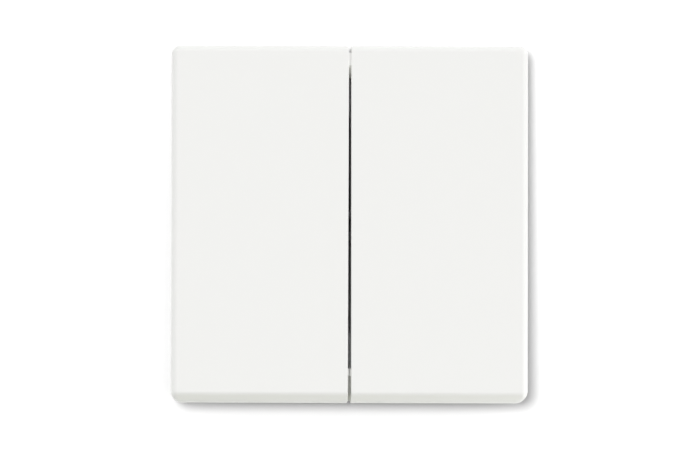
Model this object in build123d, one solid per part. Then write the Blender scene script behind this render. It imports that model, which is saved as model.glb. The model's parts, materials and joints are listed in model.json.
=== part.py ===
from build123d import *
import math
import os

# Double rocker light switch for a flush wall box.
# Two rockers make one square face. Behind it sit a steel support ring, which lies on the wall,
# and a moulded switch insert, which reaches into the wall box.
# The front faces -Y, +X is right, +Z is up, and y = 0 is the rear face of the support ring.
# Sizes are in millimetres and degrees.

# Face of the two rockers
FACE_WIDTH = 70.0
FACE_HEIGHT = 70.0
GAP_TOP = 0.44
GAP_BOTTOM = 0.66
TOP_CORNER_R = 1.7
BOTTOM_CORNER_R = 2.2
EDGE_R = 1.2
GAP_EDGE_R = 0.15
BEVEL_HEIGHT = 1.45
BEVEL_DEPTH = 1.45
BEVEL_BLEND_R = 1.25
SKIN = 2.0
SKIRT_WALL = 1.8
GAP_WALL = 1.6
GAP_WALL_ROOM = 1.0
CAVITY_CORNER_R = 0.8

# Ledges that close the gap near its two ends, counted from the face and from those ends
TOP_LEDGE_GAP = 0.04
TOP_LEDGE_START = 1.4
TOP_LEDGE_FLAT = 3.9
TOP_LEDGE_END = 6.3
TOP_LEDGE_SET = (0.1, 2.2)
BOTTOM_LEDGE_GAP = 0.1
BOTTOM_LEDGE_START = 0.3
BOTTOM_LEDGE_END = 6.55
BOTTOM_LEDGE_SET = (1.75, 2.8)
BOTTOM_LEDGE_T = 1.0
NUB_SET = 1.0
NUB_LENGTH = 1.45
LEDGE_ROOT = 0.5

# Rocking, counted each way from the middle
TILT = 3.0
PRESS_CLEARANCE = 0.6

# Support ring
RING_T = 1.2
RING_INSET = 1.0
RING_CORNER_R = 8.0
FIXING_SPACING = 60.0
FIXING_SLOT_R = 2.0
FIXING_SLOT_LENGTH = 5.6
FIXING_HEAD_R = 5.0
FIXING_HEAD_ROOM = 4.0

# Levers under the rockers
TABLE_HALF_Z = 9.0
TABLE_T = 1.8
HUB_R = 2.6
TRUNNION_R = 1.5
TRUNNION_L = 1.6
BOSS_SIZE = 6.4
BORE_FLOOR_T = 0.2
PIVOT_STANDOFF = 1.6
SEAT_PAD_T = 0.6
SEAT_PAD_WIDTH = 4.0
SEAT_PAD_Z = (5.0, 8.0)
HOOK_WIDTH = 6.0
HOOK_T = 1.2
HOOK_NOSE = 0.8
HOOK_NOSE_T = 0.6

# Plungers and toggle springs inside the levers
PLUNGER_R = 2.0
SPIGOT_R = 1.0
SPIGOT_L = 1.6
PLUNGER_GUIDE_L = 4.0
SPRING_WIRE_R = 0.22
SPRING_COIL_R = 1.5
SPRING_TURNS = 6
TIP_CLEARANCE = 0.05

# Bearing cover
COVER_T = 1.2
COVER_OVERLAP = 2.0
COVER_MARGIN = 0.3
COVER_CORNER_R = 3.0
BEARING_MID_HALF = 2.9
BEARING_WALL_T = 2.0
BEARING_SIDE_ROOM = 0.4
BEARING_HALF_Z = 3.2
BEARING_MOUTH = 2.5
BEARING_EDGE_R = 0.6
OPENING_ROOM = 1.4
NOTCH_ROOM = 0.8

# Base
BASE_HALF_X = 19.5
BASE_HALF_Z = 21.5
BASE_DEPTH = 22.0
BASE_WALL = 1.8
BASE_CHAMFER = 5.0
BASE_EDGE_R = 0.6
RIM_OVERLAP = 2.3
POST_HALF = 2.5
POST_INSET = 3.1
RIB_T = 1.4
CROSS_RIB_HALF = 1.8
STOP_WIDTH = 3.0
STOP_HEIGHT = 2.0

# Assembly screws
SCREW_R = 1.0
SCREW_L = 10.0
SCREW_HEAD_R = 1.9
SCREW_HEAD_T = 1.5
DRIVE_SLOT = 0.6
DRIVE_SLOT_DEPTH = 0.7

# Contacts, counted behind the wall face
BRIDGE_Y = 6.0
BRIDGE_T = 0.8
BRIDGE_WIDTH = 5.0
BRIDGE_HALF_Z = 10.0
BRIDGE_TILT = 5.0
BRIDGE_NOTCH = 0.4
BRIDGE_NOTCH_HALF_Z = 1.9
FULCRUM_R = 0.6
FULCRUM_HEIGHT = 2.2
CHEEK_T = 0.8
CHEEK_RISE = 1.0
CHEEK_HALF_Z = 1.5
CONTACT_R = 1.5
CONTACT_T = 0.6
CONTACT_EDGE = 0.35
CONTACT_Z = 9.0
CONTACT_SHANK_R = 0.8
CONTACT_UPSET_R = 1.2
CONTACT_UPSET_T = 0.3
CONTACT_PAD_HALF = 2.5
CONTACT_PAD_OUT = 1.4
CONTACT_PAD_END = 4.0
BAR_T = 0.8
BAR_HALF = 2.0

# Push-in terminals
TERMINAL_ROOM_IN = 0.9
TERMINAL_ROOM_OUT = 1.2
TERMINAL_HEIGHT = 6.85
FLANGE_END_ROOM = 1.4
PORT_R = 1.6
PORT_SIDE = 0.2
PORT_DROP = 1.45
LEAF_T = 0.4
LEAF_SIDE = 0.8
LEAF_START_ROOM = 1.5
LEAF_FOLD_ROOM = 2.6
LEAF_FOLD_R = 0.7
LEAF_RETURN = 4.6
LEAF_TIP_ROOM = 0.3
BUTTON_WIDTH = 4.4
BUTTON_HEIGHT = 2.0
BUTTON_DROP = 3.6
BUTTON_PROUD = 0.6
BUTTON_SHOULDER = 0.4
BUTTON_SHOULDER_T = 1.4
BUTTON_NOSE = 1.4
BUTTON_NOSE_L = 1.0
RECESS_DEPTH = 0.5
RECESS_MARGIN = 0.7
RECESS_CORNER_R = 1.0

# Spreading claws
CLAW_T = 1.2
CLAW_HALF_Z = 3.6
CLAW_FOOT_L = 4.0
CLAW_PIVOT_Y = 2.4
CLAW_BARREL_R = 1.7
CLAW_FOOT_HALF_Z = 2.6
CLAW_FOOT_PAST = 2.0
CLAW_FOOT_SET = 0.1
CLAW_REST_ROOM = 2.1
CLAW_END_Y = 19.0
CLAW_TOOTH_L = 2.6
CLAW_TOOTH_RISE = 1.4
CLAW_TOOTH_NOTCH = 1.4
CLAW_TOOTH_HALF = 1.0
CLAW_SWING = 24.0
CLAW_PIN_R = 0.8
CLAW_PIN_HEAD_R = 1.3
CLAW_PIN_HEAD_T = 0.5
EAR_T = 1.0
CLAW_HEAD_ROOM = 2.0
CLAW_SCREW_R = 1.5
CLAW_SCREW_POINT_R = 0.5
CLAW_SCREW_POINT_L = 1.0
CLAW_SCREW_HEAD_R = 2.5
CLAW_SCREW_HEAD_T = 1.8
CLAW_COLLAR_R = 2.2
CLAW_COLLAR_T = 1.0

# Clearances
RUNNING = 0.05
SLIDING = 0.08
SEAT = 0.05
SNAP = 0.1
SIDE = 0.3
GUIDE = 0.15
PASSAGE = 0.2
FIXED = 0.02

# How far cuts and joined pieces run past a face, and how near two places count as one
PAST = 1.0
NEAR = 0.05

# Depths from the wall to the face
RING_FRONT = -RING_T
COVER_FRONT = RING_FRONT - COVER_T
PIVOT_Y = COVER_FRONT - PIVOT_STANDOFF
TABLE_REAR = PIVOT_Y - HUB_R
TABLE_FRONT = TABLE_REAR - TABLE_T
SKIN_REAR = TABLE_FRONT - SEAT_PAD_T
FACE_Y = SKIN_REAR - SKIN
SWING = FACE_HEIGHT / 2 * math.sin(math.radians(TILT))
SKIRT_REAR = RING_FRONT - PRESS_CLEARANCE - SWING

# Places across the face
WINDOW_HALF_X = BASE_HALF_X - RIM_OVERLAP
WINDOW_HALF_Z = BASE_HALF_Z - RIM_OVERLAP
COVER_HALF_X = WINDOW_HALF_X + COVER_OVERLAP + COVER_MARGIN
COVER_HALF_Z = WINDOW_HALF_Z + COVER_OVERLAP
LEVER_IN = BEARING_MID_HALF + SIDE
LEVER_OUT = COVER_HALF_X - BEARING_SIDE_ROOM - BEARING_WALL_T - SIDE
LEVER_X = (LEVER_IN + LEVER_OUT) / 2
INNER_X = BASE_HALF_X - BASE_WALL
INNER_Z = BASE_HALF_Z - BASE_WALL
INNER_REAR = BASE_DEPTH - BASE_WALL
SCREW_X = WINDOW_HALF_X - POST_INSET
SCREW_Z = WINDOW_HALF_Z - POST_INSET
POST_IN_X = SCREW_X - POST_HALF
POST_IN_Z = SCREW_Z - POST_HALF

# Places of the contacts and terminals
TIP_Y = BRIDGE_Y - BRIDGE_T - TIP_CLEARANCE
PLUNGER_DOME_Y = TIP_Y - PLUNGER_R
PLUNGER_FRONT = PLUNGER_DOME_Y - PLUNGER_GUIDE_L
BOSS_REAR = PLUNGER_DOME_Y - GUIDE
BORE_FLOOR = TABLE_REAR + BORE_FLOOR_T
BAR_FRONT = BRIDGE_Y + FULCRUM_HEIGHT
BAR_REAR = BAR_FRONT + BAR_T
BRIDGE_ANGLE = math.radians(BRIDGE_TILT)
CONTACT_FACE_R = CONTACT_R - CONTACT_EDGE
FIXED_CONTACT_Y = (
    BRIDGE_Y
    + CONTACT_T * math.cos(BRIDGE_ANGLE)
    + (CONTACT_Z + CONTACT_FACE_R) * math.sin(BRIDGE_ANGLE)
    + SEAT
)
STOP_Y = BRIDGE_Y + BRIDGE_HALF_Z * math.sin(BRIDGE_ANGLE) + SNAP
FLANGE_OUT = INNER_Z - SEAT
FLANGE_IN = FLANGE_OUT - BAR_T
TERMINAL_IN = RIB_T / 2 + TERMINAL_ROOM_IN
TERMINAL_OUT = POST_IN_X - TERMINAL_ROOM_OUT
TERMINAL_X = (TERMINAL_IN + TERMINAL_OUT) / 2
TERMINAL_HALF = (TERMINAL_OUT - TERMINAL_IN) / 2
TERMINAL_Z = FLANGE_IN - TERMINAL_HEIGHT
PORT_PITCH = 2 * (TERMINAL_HALF - PORT_SIDE - PORT_R)
PORT_Z = FLANGE_IN - PORT_DROP
BUTTON_Z = PORT_Z - BUTTON_DROP
LEAF_Z = TERMINAL_Z
LEAF_WIDTH = 2 * (TERMINAL_HALF - LEAF_SIDE)
LEAF_START_Y = BAR_REAR + LEAF_START_ROOM
LEAF_FOLD_Y = INNER_REAR - LEAF_FOLD_ROOM
LEAF_TIP_Y = LEAF_FOLD_Y - LEAF_RETURN
SHELF_TOP = LEAF_Z - LEAF_T / 2 - SEAT

# Places of the claws
CLAW_SCREW_X = COVER_HALF_X + CLAW_HEAD_ROOM + CLAW_SCREW_HEAD_R
CLAW_PIVOT_X = CLAW_SCREW_X + CLAW_FOOT_L
CLAW_END = (BASE_HALF_X + CLAW_REST_ROOM, CLAW_END_Y)
CLAW_TOOTH = (CLAW_END[0] + CLAW_TOOTH_L, CLAW_END_Y + CLAW_TOOTH_RISE)
CLAW_SCREW_TRAVEL = (CLAW_FOOT_L - CLAW_SCREW_POINT_R) * math.radians(CLAW_SWING)
CLAW_SCREW_TIP = CLAW_PIVOT_Y + CLAW_FOOT_SET - SEAT
CLAW_SCREW_SEAT = RING_FRONT - CLAW_SCREW_TRAVEL - SNAP
EAR_Z = CLAW_HALF_Z + SIDE


def span(centre, width):
    """Both ends of a width about its middle."""
    return centre - width / 2, centre + width / 2


def block(x, y, z):
    """Box between the two ends given for each axis."""
    low = (min(x), min(y), min(z))
    size = (abs(x[1] - x[0]), abs(y[1] - y[0]), abs(z[1] - z[0]))
    return Location(low) * Box(*size, align=(Align.MIN, Align.MIN, Align.MIN))


def slab(sketch, y_front, y_rear):
    """Solid of an outline drawn in x and z, between two depths."""
    plane = Plane(origin=(0, y_rear, 0), x_dir=(1, 0, 0), z_dir=(0, -1, 0))
    return extrude(plane * sketch, amount=y_rear - y_front, dir=(0, -1, 0))


def strip(sketch, x_low, x_high):
    """Solid of a profile drawn in y and z, between two places across the width."""
    return extrude(Plane.YZ.offset(x_low) * sketch, amount=x_high - x_low, dir=(1, 0, 0))


def rod(radius, start, end):
    """Round rod between two points."""
    axis = Vector(*end) - Vector(*start)
    place = Plane(origin=start, z_dir=axis)
    return place * Cylinder(radius, axis.length, align=(Align.CENTER, Align.CENTER, Align.MIN))


def bent_leaf(points, bend_r, thickness):
    """Profile of a strip of sheet that follows a bent line."""
    return trace(FilletPolyline(*points, radius=bend_r), line_width=thickness)


def tilted(shape):
    """A piece of the right lever train, turned about the trunnions to its off position."""
    return shape.rotate(Axis((0, PIVOT_Y, 0), (1, 0, 0)), -TILT)


def left_of(shape):
    """The left-hand twin of a right-hand piece."""
    return mirror(shape, about=Plane.YZ)


def rocker_outline(inset, gap_inset, top_r, bottom_r):
    """Outline of the right rocker in x and z, drawn in from its edges."""
    side = FACE_WIDTH / 2 - inset
    end = FACE_HEIGHT / 2 - inset
    corners = [
        (GAP_TOP / 2 + gap_inset, end),
        (side, end),
        (side, -end),
        (GAP_BOTTOM / 2 + gap_inset, -end),
    ]
    sketch = make_face(Polyline(*corners, close=True))
    sketch = fillet(sketch.vertices().sort_by_distance((side, end, 0))[:1], top_r)
    return fillet(sketch.vertices().sort_by_distance((side, -end, 0))[:1], bottom_r)


def is_rim(edge):
    """Whether an edge runs round the outside of the rocker's front."""
    box = edge.bounding_box()
    end = FACE_HEIGHT / 2
    near_front = box.max.Y < FACE_Y + BEVEL_DEPTH + NEAR
    at_gap = box.max.X < GAP_WALL
    crosses = box.size.X > FACE_WIDTH / 4 and abs(abs(box.min.Z) - end) > NEAR
    return near_front and not at_gap and not crosses


def is_gap_edge(edge):
    """Whether an edge lies between the rocker's front and the wall of the gap."""
    box = edge.bounding_box()
    near_front = box.max.Y < FACE_Y + BEVEL_DEPTH + NEAR
    return near_front and box.max.X < GAP_WALL and box.size.Z > EDGE_R


def rocker_front():
    """Solid rocker with its bottom bevel and its rounded rim."""
    end = FACE_HEIGHT / 2
    lean = BEVEL_DEPTH / BEVEL_HEIGHT
    body = slab(rocker_outline(0, 0, TOP_CORNER_R, BOTTOM_CORNER_R), FACE_Y, SKIRT_REAR)
    wedge = Polygon(
        (FACE_Y - PAST, -end + BEVEL_HEIGHT + PAST / lean),
        (FACE_Y + BEVEL_DEPTH + PAST * lean, -end - PAST),
        (FACE_Y - PAST, -end - PAST),
        align=None,
    )
    body -= strip(wedge, 0, FACE_WIDTH / 2 + PAST)
    bevel_top = (FACE_WIDTH / 4, FACE_Y, -end + BEVEL_HEIGHT)
    body = fillet(body.edges().filter_by(Axis.X).sort_by_distance(bevel_top)[:1], BEVEL_BLEND_R)
    body = fillet([edge for edge in body.edges() if is_rim(edge)], EDGE_R)
    return fillet([edge for edge in body.edges() if is_gap_edge(edge)], GAP_EDGE_R)


def rocker():
    """Right rocker: a hollow cap that clips on to its lever."""
    body = rocker_front()
    inner_end = FACE_HEIGHT / 2 - SKIRT_WALL
    rear = SKIRT_REAR + PAST
    cavity = rocker_outline(SKIRT_WALL, GAP_WALL, CAVITY_CORNER_R, CAVITY_CORNER_R)
    body -= slab(cavity, SKIN_REAR, rear)

    # the wall along the gap stops short of the cover, the bearings and the fixing screws' heads
    wall_x = (-PAST, max(GAP_TOP, GAP_BOTTOM) / 2 + GAP_WALL)
    cover_swing = COVER_HALF_Z * math.sin(math.radians(TILT))
    body -= block(wall_x, (COVER_FRONT - GAP_WALL_ROOM - cover_swing, rear), (-inner_end, inner_end))
    bearing_half = BEARING_HALF_Z + NOTCH_ROOM
    body -= block(wall_x, (TABLE_REAR - NOTCH_ROOM, rear), (-bearing_half, bearing_half))
    head_y = RING_FRONT - FIXING_HEAD_ROOM - SWING
    head_z = FIXING_SPACING / 2 - FIXING_HEAD_R
    for end in (-1, 1):
        body -= block(wall_x, (head_y, rear), (end * head_z, end * inner_end))

    # ledges close the gap: the top one slopes down, the bottom one has a nub and follows the bevel
    top = FACE_HEIGHT / 2
    flat_y, fall_y = [FACE_Y + depth for depth in TOP_LEDGE_SET]
    top_ledge = Polygon(
        (flat_y, top - TOP_LEDGE_START),
        (flat_y, top - TOP_LEDGE_FLAT),
        (fall_y, top - TOP_LEDGE_END),
        (head_y, top - TOP_LEDGE_END),
        (head_y, top - TOP_LEDGE_START),
        align=None,
    )
    body += strip(top_ledge, TOP_LEDGE_GAP / 2, GAP_TOP / 2 + LEDGE_ROOT)
    nub_z = -top + BOTTOM_LEDGE_END - NUB_LENGTH
    floor_y, bevel_y = [FACE_Y + depth for depth in BOTTOM_LEDGE_SET]
    last_y = bevel_y + (BEVEL_HEIGHT - BOTTOM_LEDGE_START) * BEVEL_DEPTH / BEVEL_HEIGHT
    bottom_ledge = Polygon(
        (FACE_Y + NUB_SET, -top + BOTTOM_LEDGE_END),
        (FACE_Y + NUB_SET, nub_z),
        (floor_y, nub_z),
        (bevel_y, -top + BEVEL_HEIGHT),
        (last_y, -top + BOTTOM_LEDGE_START),
        (last_y + BOTTOM_LEDGE_T, -top + BOTTOM_LEDGE_START),
        (last_y + BOTTOM_LEDGE_T, -inner_end),
        (head_y, -inner_end),
        (head_y, -top + BOTTOM_LEDGE_END),
        align=None,
    )
    body += strip(bottom_ledge, BOTTOM_LEDGE_GAP / 2, GAP_BOTTOM / 2 + LEDGE_ROOT)

    # pads and hooks that hold the lever's table
    pad_x = span(LEVER_X, SEAT_PAD_WIDTH)
    hook_x = span(LEVER_X, HOOK_WIDTH)
    hook_z = TABLE_HALF_Z + SNAP
    nose_y = TABLE_REAR + SNAP
    into_skin = SKIN_REAR - PASSAGE
    for end in (-1, 1):
        body += block(pad_x, (into_skin, TABLE_FRONT), [end * z for z in SEAT_PAD_Z])
        profile = [
            (into_skin, hook_z),
            (nose_y, hook_z),
            (nose_y, hook_z - HOOK_NOSE),
            (nose_y + HOOK_NOSE_T, hook_z - HOOK_NOSE),
            (nose_y + HOOK_NOSE_T + HOOK_NOSE, hook_z),
            (nose_y + HOOK_NOSE_T + HOOK_NOSE, hook_z + HOOK_T),
            (into_skin, hook_z + HOOK_T),
        ]
        hook = Polygon(*[(y, end * z) for y, z in profile], align=None)
        body += strip(hook, *hook_x)
    return tilted(body)


def lever():
    """Right lever: the table under the rocker, its trunnions and the boss for the plunger."""
    body = block((LEVER_IN, LEVER_OUT), (TABLE_FRONT, TABLE_REAR), (-TABLE_HALF_Z, TABLE_HALF_Z))
    body += rod(HUB_R, (LEVER_IN, PIVOT_Y, 0), (LEVER_OUT, PIVOT_Y, 0))
    body += block((LEVER_IN, LEVER_OUT), (TABLE_REAR - BORE_FLOOR_T, PIVOT_Y), span(0, 2 * HUB_R))
    body += block(span(LEVER_X, BOSS_SIZE), (PIVOT_Y, BOSS_REAR), span(0, BOSS_SIZE))
    trunnion_ends = (LEVER_IN - TRUNNION_L, PIVOT_Y, 0), (LEVER_OUT + TRUNNION_L, PIVOT_Y, 0)
    body += rod(TRUNNION_R, *trunnion_ends)
    body -= rod(PLUNGER_R + SLIDING, (LEVER_X, BORE_FLOOR, 0), (LEVER_X, BOSS_REAR + PAST, 0))
    return tilted(body)


def plunger():
    """Right plunger: a domed pin whose spigot sits in the toggle spring."""
    body = rod(PLUNGER_R, (LEVER_X, PLUNGER_FRONT, 0), (LEVER_X, PLUNGER_DOME_Y, 0))
    body += Location((LEVER_X, PLUNGER_DOME_Y, 0)) * Sphere(PLUNGER_R)
    body += rod(SPIGOT_R, (LEVER_X, PLUNGER_FRONT - SPIGOT_L, 0), (LEVER_X, PLUNGER_FRONT, 0))
    return tilted(body)


def toggle_spring():
    """Right toggle spring: a coil between the lever's bore and the plunger."""
    low = BORE_FLOOR + SPRING_WIRE_R + SEAT
    high = PLUNGER_FRONT - SPRING_WIRE_R - SEAT
    path = Helix(pitch=(high - low) / SPRING_TURNS, height=high - low, radius=SPRING_COIL_R)
    wire = Plane(origin=path @ 0, z_dir=path % 0) * Circle(SPRING_WIRE_R)
    coil = sweep(wire, path=path, is_frenet=True)
    return tilted(Plane(origin=(LEVER_X, low, 0), z_dir=(0, 1, 0)) * coil)


def contact_rivet(head_y, shank_y):
    """Silver contact on the right side: a chamfered head whose shank fills the strip's hole."""
    head = rod(CONTACT_R, (LEVER_X, shank_y[0], CONTACT_Z), (LEVER_X, head_y, CONTACT_Z))
    outer = head.edges().filter_by(GeomType.CIRCLE).sort_by_distance((LEVER_X, head_y, CONTACT_Z))
    head = chamfer(outer[:1], CONTACT_EDGE)
    return head + rod(CONTACT_SHANK_R, *[(LEVER_X, y, CONTACT_Z) for y in shank_y])


def on_bridge(shape):
    """A piece of the right contact bridge, turned about its fulcrum to its off position."""
    return shape.rotate(Axis((0, BRIDGE_Y, 0), (1, 0, 0)), BRIDGE_TILT)


def contact_bridge():
    """Right contact bridge: a see-saw strip, notched where it sits between the cheeks."""
    front = BRIDGE_Y - BRIDGE_T
    body = block(span(LEVER_X, BRIDGE_WIDTH), (front, BRIDGE_Y), span(0, 2 * BRIDGE_HALF_Z))
    notch_z = span(0, 2 * BRIDGE_NOTCH_HALF_Z)
    for side in (-1, 1):
        edge = LEVER_X + side * BRIDGE_WIDTH / 2
        notch_x = (edge - side * BRIDGE_NOTCH, edge + side * PAST)
        body -= block(notch_x, (front - PAST, BRIDGE_Y + PAST), notch_z)
    hole = (LEVER_X, front - PAST, CONTACT_Z), (LEVER_X, BRIDGE_Y + PAST, CONTACT_Z)
    return on_bridge(body - rod(CONTACT_SHANK_R + FIXED, *hole))


def bridge_contact():
    """Right moving contact, riveted through the bridge."""
    front = BRIDGE_Y - BRIDGE_T
    body = contact_rivet(BRIDGE_Y + CONTACT_T, (BRIDGE_Y, front))
    upset = (LEVER_X, front - CONTACT_UPSET_T, CONTACT_Z), (LEVER_X, front, CONTACT_Z)
    return on_bridge(body + rod(CONTACT_UPSET_R, *upset))


def terminal_plate(x):
    """Brass of one terminal: a plate behind the contacts and a flange that the wires press on."""
    across = span(x, 2 * TERMINAL_HALF)
    plate = block(across, (BAR_FRONT, BAR_REAR), (TERMINAL_Z, FLANGE_OUT))
    return plate + block(across, (BAR_FRONT, INNER_REAR - FLANGE_END_ROOM), (FLANGE_IN, FLANGE_OUT))


def output_bar():
    """Right output bar, from the fixed contact to its terminal."""
    pad_x = (LEVER_X - CONTACT_PAD_HALF, LEVER_X + CONTACT_PAD_OUT)
    pad_z = (CONTACT_Z - CONTACT_PAD_HALF, CONTACT_Z + CONTACT_PAD_END)
    body = terminal_plate(TERMINAL_X) + block(pad_x, (BAR_FRONT, BAR_REAR), pad_z)
    hole = (LEVER_X, BAR_FRONT - PAST, CONTACT_Z), (LEVER_X, BAR_REAR + PAST, CONTACT_Z)
    return body - rod(CONTACT_SHANK_R + FIXED, *hole)


def fixed_contact():
    """Right fixed contact on its output bar."""
    return contact_rivet(FIXED_CONTACT_Y, (BAR_FRONT, BAR_REAR))


def line_bar():
    """Line bar: a cross strip with a fulcrum for each bridge, and the line terminal below."""
    depth = (BAR_FRONT, BAR_REAR)
    ridge_y = BRIDGE_Y + SEAT + FULCRUM_R
    cheek_in = BRIDGE_WIDTH / 2 - BRIDGE_NOTCH + GUIDE
    reach = LEVER_X + cheek_in + CHEEK_T
    body = mirror(terminal_plate(0), about=Plane.XY)
    body += block(span(0, 2 * BAR_HALF), depth, (-TERMINAL_Z - PAST, 0))
    body += block(span(0, 2 * reach), depth, span(0, 2 * BAR_HALF))
    for side in (-1, 1):
        ridge_x = span(side * LEVER_X, 2 * (cheek_in + CHEEK_T))
        body += block(ridge_x, (ridge_y, BAR_FRONT), span(0, 2 * FULCRUM_R))
        body += rod(FULCRUM_R, (ridge_x[0], ridge_y, 0), (ridge_x[1], ridge_y, 0))
        for edge in (-1, 1):
            cheek_x = [side * LEVER_X + edge * reach_x for reach_x in (cheek_in, cheek_in + CHEEK_T)]
            cheek_y = (BRIDGE_Y - CHEEK_RISE, BAR_FRONT)
            body += block(cheek_x, cheek_y, span(0, 2 * CHEEK_HALF_Z))
    return body


def clamp_spring(x):
    """Leaf spring of one terminal: it lies on a shelf and folds back towards the flange."""
    points = [
        (LEAF_START_Y, LEAF_Z),
        (LEAF_FOLD_Y, LEAF_Z),
        (LEAF_TIP_Y, FLANGE_IN - LEAF_TIP_ROOM),
    ]
    return strip(bent_leaf(points, LEAF_FOLD_R, LEAF_T), *span(x, LEAF_WIDTH))


def release_button(x):
    """Button of one terminal: it is pressed from behind to lift the leaf off the wires."""
    shoulder_rear = INNER_REAR - SNAP
    shoulder_front = shoulder_rear - BUTTON_SHOULDER_T
    shoulder_x = span(x, BUTTON_WIDTH + 2 * BUTTON_SHOULDER)
    shoulder_z = (BUTTON_Z - BUTTON_HEIGHT / 2, BUTTON_Z + BUTTON_HEIGHT / 2 + BUTTON_SHOULDER)
    key_y = (shoulder_rear, BASE_DEPTH + BUTTON_PROUD)
    body = block(span(x, BUTTON_WIDTH), key_y, span(BUTTON_Z, BUTTON_HEIGHT))
    body += block(shoulder_x, (shoulder_front, shoulder_rear), shoulder_z)
    nose_y = (shoulder_front - BUTTON_NOSE_L, shoulder_front)
    body += block(span(x, BUTTON_WIDTH), nose_y, span(BUTTON_Z, BUTTON_NOSE))
    return body


def post_places():
    """Centres of the four assembly screws in x and z."""
    return [(sx * SCREW_X, sz * SCREW_Z) for sx in (-1, 1) for sz in (-1, 1)]


def terminal_housing(x):
    """Shelf that the base gives one terminal, under its leaf spring."""
    shelf_x = span(x, 2 * TERMINAL_HALF + 2 * PASSAGE)
    return block(shelf_x, (BAR_REAR, INNER_REAR), (SHELF_TOP - RIB_T, SHELF_TOP))


def terminal_openings(x):
    """Wire ports and button opening of one terminal, through a shallow recess in the rear wall."""
    through = (INNER_REAR - PAST, BASE_DEPTH + PAST)
    opening = block(
        span(x, BUTTON_WIDTH + 2 * GUIDE), through, span(BUTTON_Z, BUTTON_HEIGHT + 2 * GUIDE)
    )
    recess_low = BUTTON_Z - BUTTON_HEIGHT / 2 - RECESS_MARGIN
    recess_high = PORT_Z + PORT_R + RECESS_MARGIN
    recess = RectangleRounded(
        PORT_PITCH + 2 * (PORT_R + RECESS_MARGIN), recess_high - recess_low, RECESS_CORNER_R
    )
    recess = Location((x, (recess_low + recess_high) / 2)) * recess
    opening += slab(recess, BASE_DEPTH - RECESS_DEPTH, BASE_DEPTH + PAST)
    for port_x in span(x, PORT_PITCH):
        opening += rod(PORT_R, (port_x, through[0], PORT_Z), (port_x, through[1], PORT_Z))
    return opening


def base():
    """Moulded base: the box behind the ring, with its posts, ribs, ports and button openings."""
    outline = chamfer(Rectangle(2 * BASE_HALF_X, 2 * BASE_HALF_Z).vertices(), BASE_CHAMFER)
    body = slab(outline, 0, BASE_DEPTH)
    body = fillet(body.faces().sort_by(Axis.Y)[-1].edges(), BASE_EDGE_R)
    cavity = Rectangle(2 * INNER_X, 2 * POST_IN_Z) + Rectangle(2 * POST_IN_X, 2 * INNER_Z)
    body -= slab(cavity, -PAST, INNER_REAR)
    ribs = (BAR_REAR, INNER_REAR)
    body += block(span(0, 2 * INNER_X), ribs, span(0, 2 * CROSS_RIB_HALF))
    body += block(span(0, RIB_T), ribs, (CROSS_RIB_HALF, INNER_Z))
    for side in (-1, 1):
        body += terminal_housing(side * TERMINAL_X)
        pad_in = LEVER_X - CONTACT_PAD_HALF
        pad_x = (side * pad_in, side * POST_IN_X)
        body += block(pad_x, ribs, span(CONTACT_Z - CONTACT_PAD_HALF + RIB_T, RIB_T))
        stop_z = (-BRIDGE_HALF_Z, -BRIDGE_HALF_Z + STOP_HEIGHT)
        body += block(span(side * LEVER_X, STOP_WIDTH), (STOP_Y, INNER_REAR), stop_z)
        body -= terminal_openings(side * TERMINAL_X)
    body += mirror(terminal_housing(0), about=Plane.XY)
    body -= mirror(terminal_openings(0), about=Plane.XY)
    pilot_end = COVER_FRONT + SCREW_L + PAST
    for x, z in post_places():
        body += block(span(x, 2 * POST_HALF), (RING_FRONT, PAST), span(z, 2 * POST_HALF))
        body -= rod(SCREW_R + RUNNING, (x, RING_FRONT - PAST, z), (x, pilot_end, z))
    return body


def bearing_cover():
    """Cover in front of the ring, with a snap-in bearing at each side of each lever."""
    body = slab(
        RectangleRounded(2 * COVER_HALF_X, 2 * COVER_HALF_Z, COVER_CORNER_R), COVER_FRONT, RING_FRONT
    )
    opening_z = span(0, 2 * (BEARING_HALF_Z + OPENING_ROOM))
    wall_in = LEVER_IN - SIDE
    wall_out = LEVER_OUT + SIDE
    for side in (-1, 1):
        opening_x = (side * wall_in, side * wall_out)
        body -= block(opening_x, (COVER_FRONT - PAST, RING_FRONT + PAST), opening_z)
    wall_y = (TABLE_REAR, RING_FRONT)
    walls = [(-wall_in, wall_in), (wall_out, wall_out + BEARING_WALL_T)]
    walls.append((-wall_out - BEARING_WALL_T, -wall_out))
    for wall_x in walls:
        wall = block(wall_x, wall_y, span(0, 2 * BEARING_HALF_Z))
        front = wall.faces().sort_by(Axis.Y)[0].edges().filter_by(Axis.X)
        body += fillet(front, BEARING_EDGE_R)
    ends = (-COVER_HALF_X - PAST, PIVOT_Y, 0), (COVER_HALF_X + PAST, PIVOT_Y, 0)
    body -= rod(TRUNNION_R + RUNNING, *ends)
    mouth_x = (-COVER_HALF_X - PAST, COVER_HALF_X + PAST)
    body -= block(mouth_x, (TABLE_REAR - PAST, PIVOT_Y), span(0, BEARING_MOUTH))
    for x, z in post_places():
        body -= rod(SCREW_R + GUIDE, (x, COVER_FRONT - PAST, z), (x, RING_FRONT + PAST, z))
    return body


def slotted_head(x, z, head_r, seat_y, head_t):
    """Head of a screw that is seated from the front, with its driving slot."""
    head = rod(head_r, (x, seat_y - head_t, z), (x, seat_y, z))
    slot_y = (seat_y - head_t - PAST, seat_y - head_t + DRIVE_SLOT_DEPTH)
    return head - block(span(x, 2 * head_r + PAST), slot_y, span(z, DRIVE_SLOT))


def assembly_screws():
    """Four screws that hold the cover, the ring and the base together."""
    screws = []
    for x, z in post_places():
        head = slotted_head(x, z, SCREW_HEAD_R, COVER_FRONT, SCREW_HEAD_T)
        screws.append(head + rod(SCREW_R, (x, COVER_FRONT, z), (x, COVER_FRONT + SCREW_L, z)))
    return Compound(children=screws)


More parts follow.
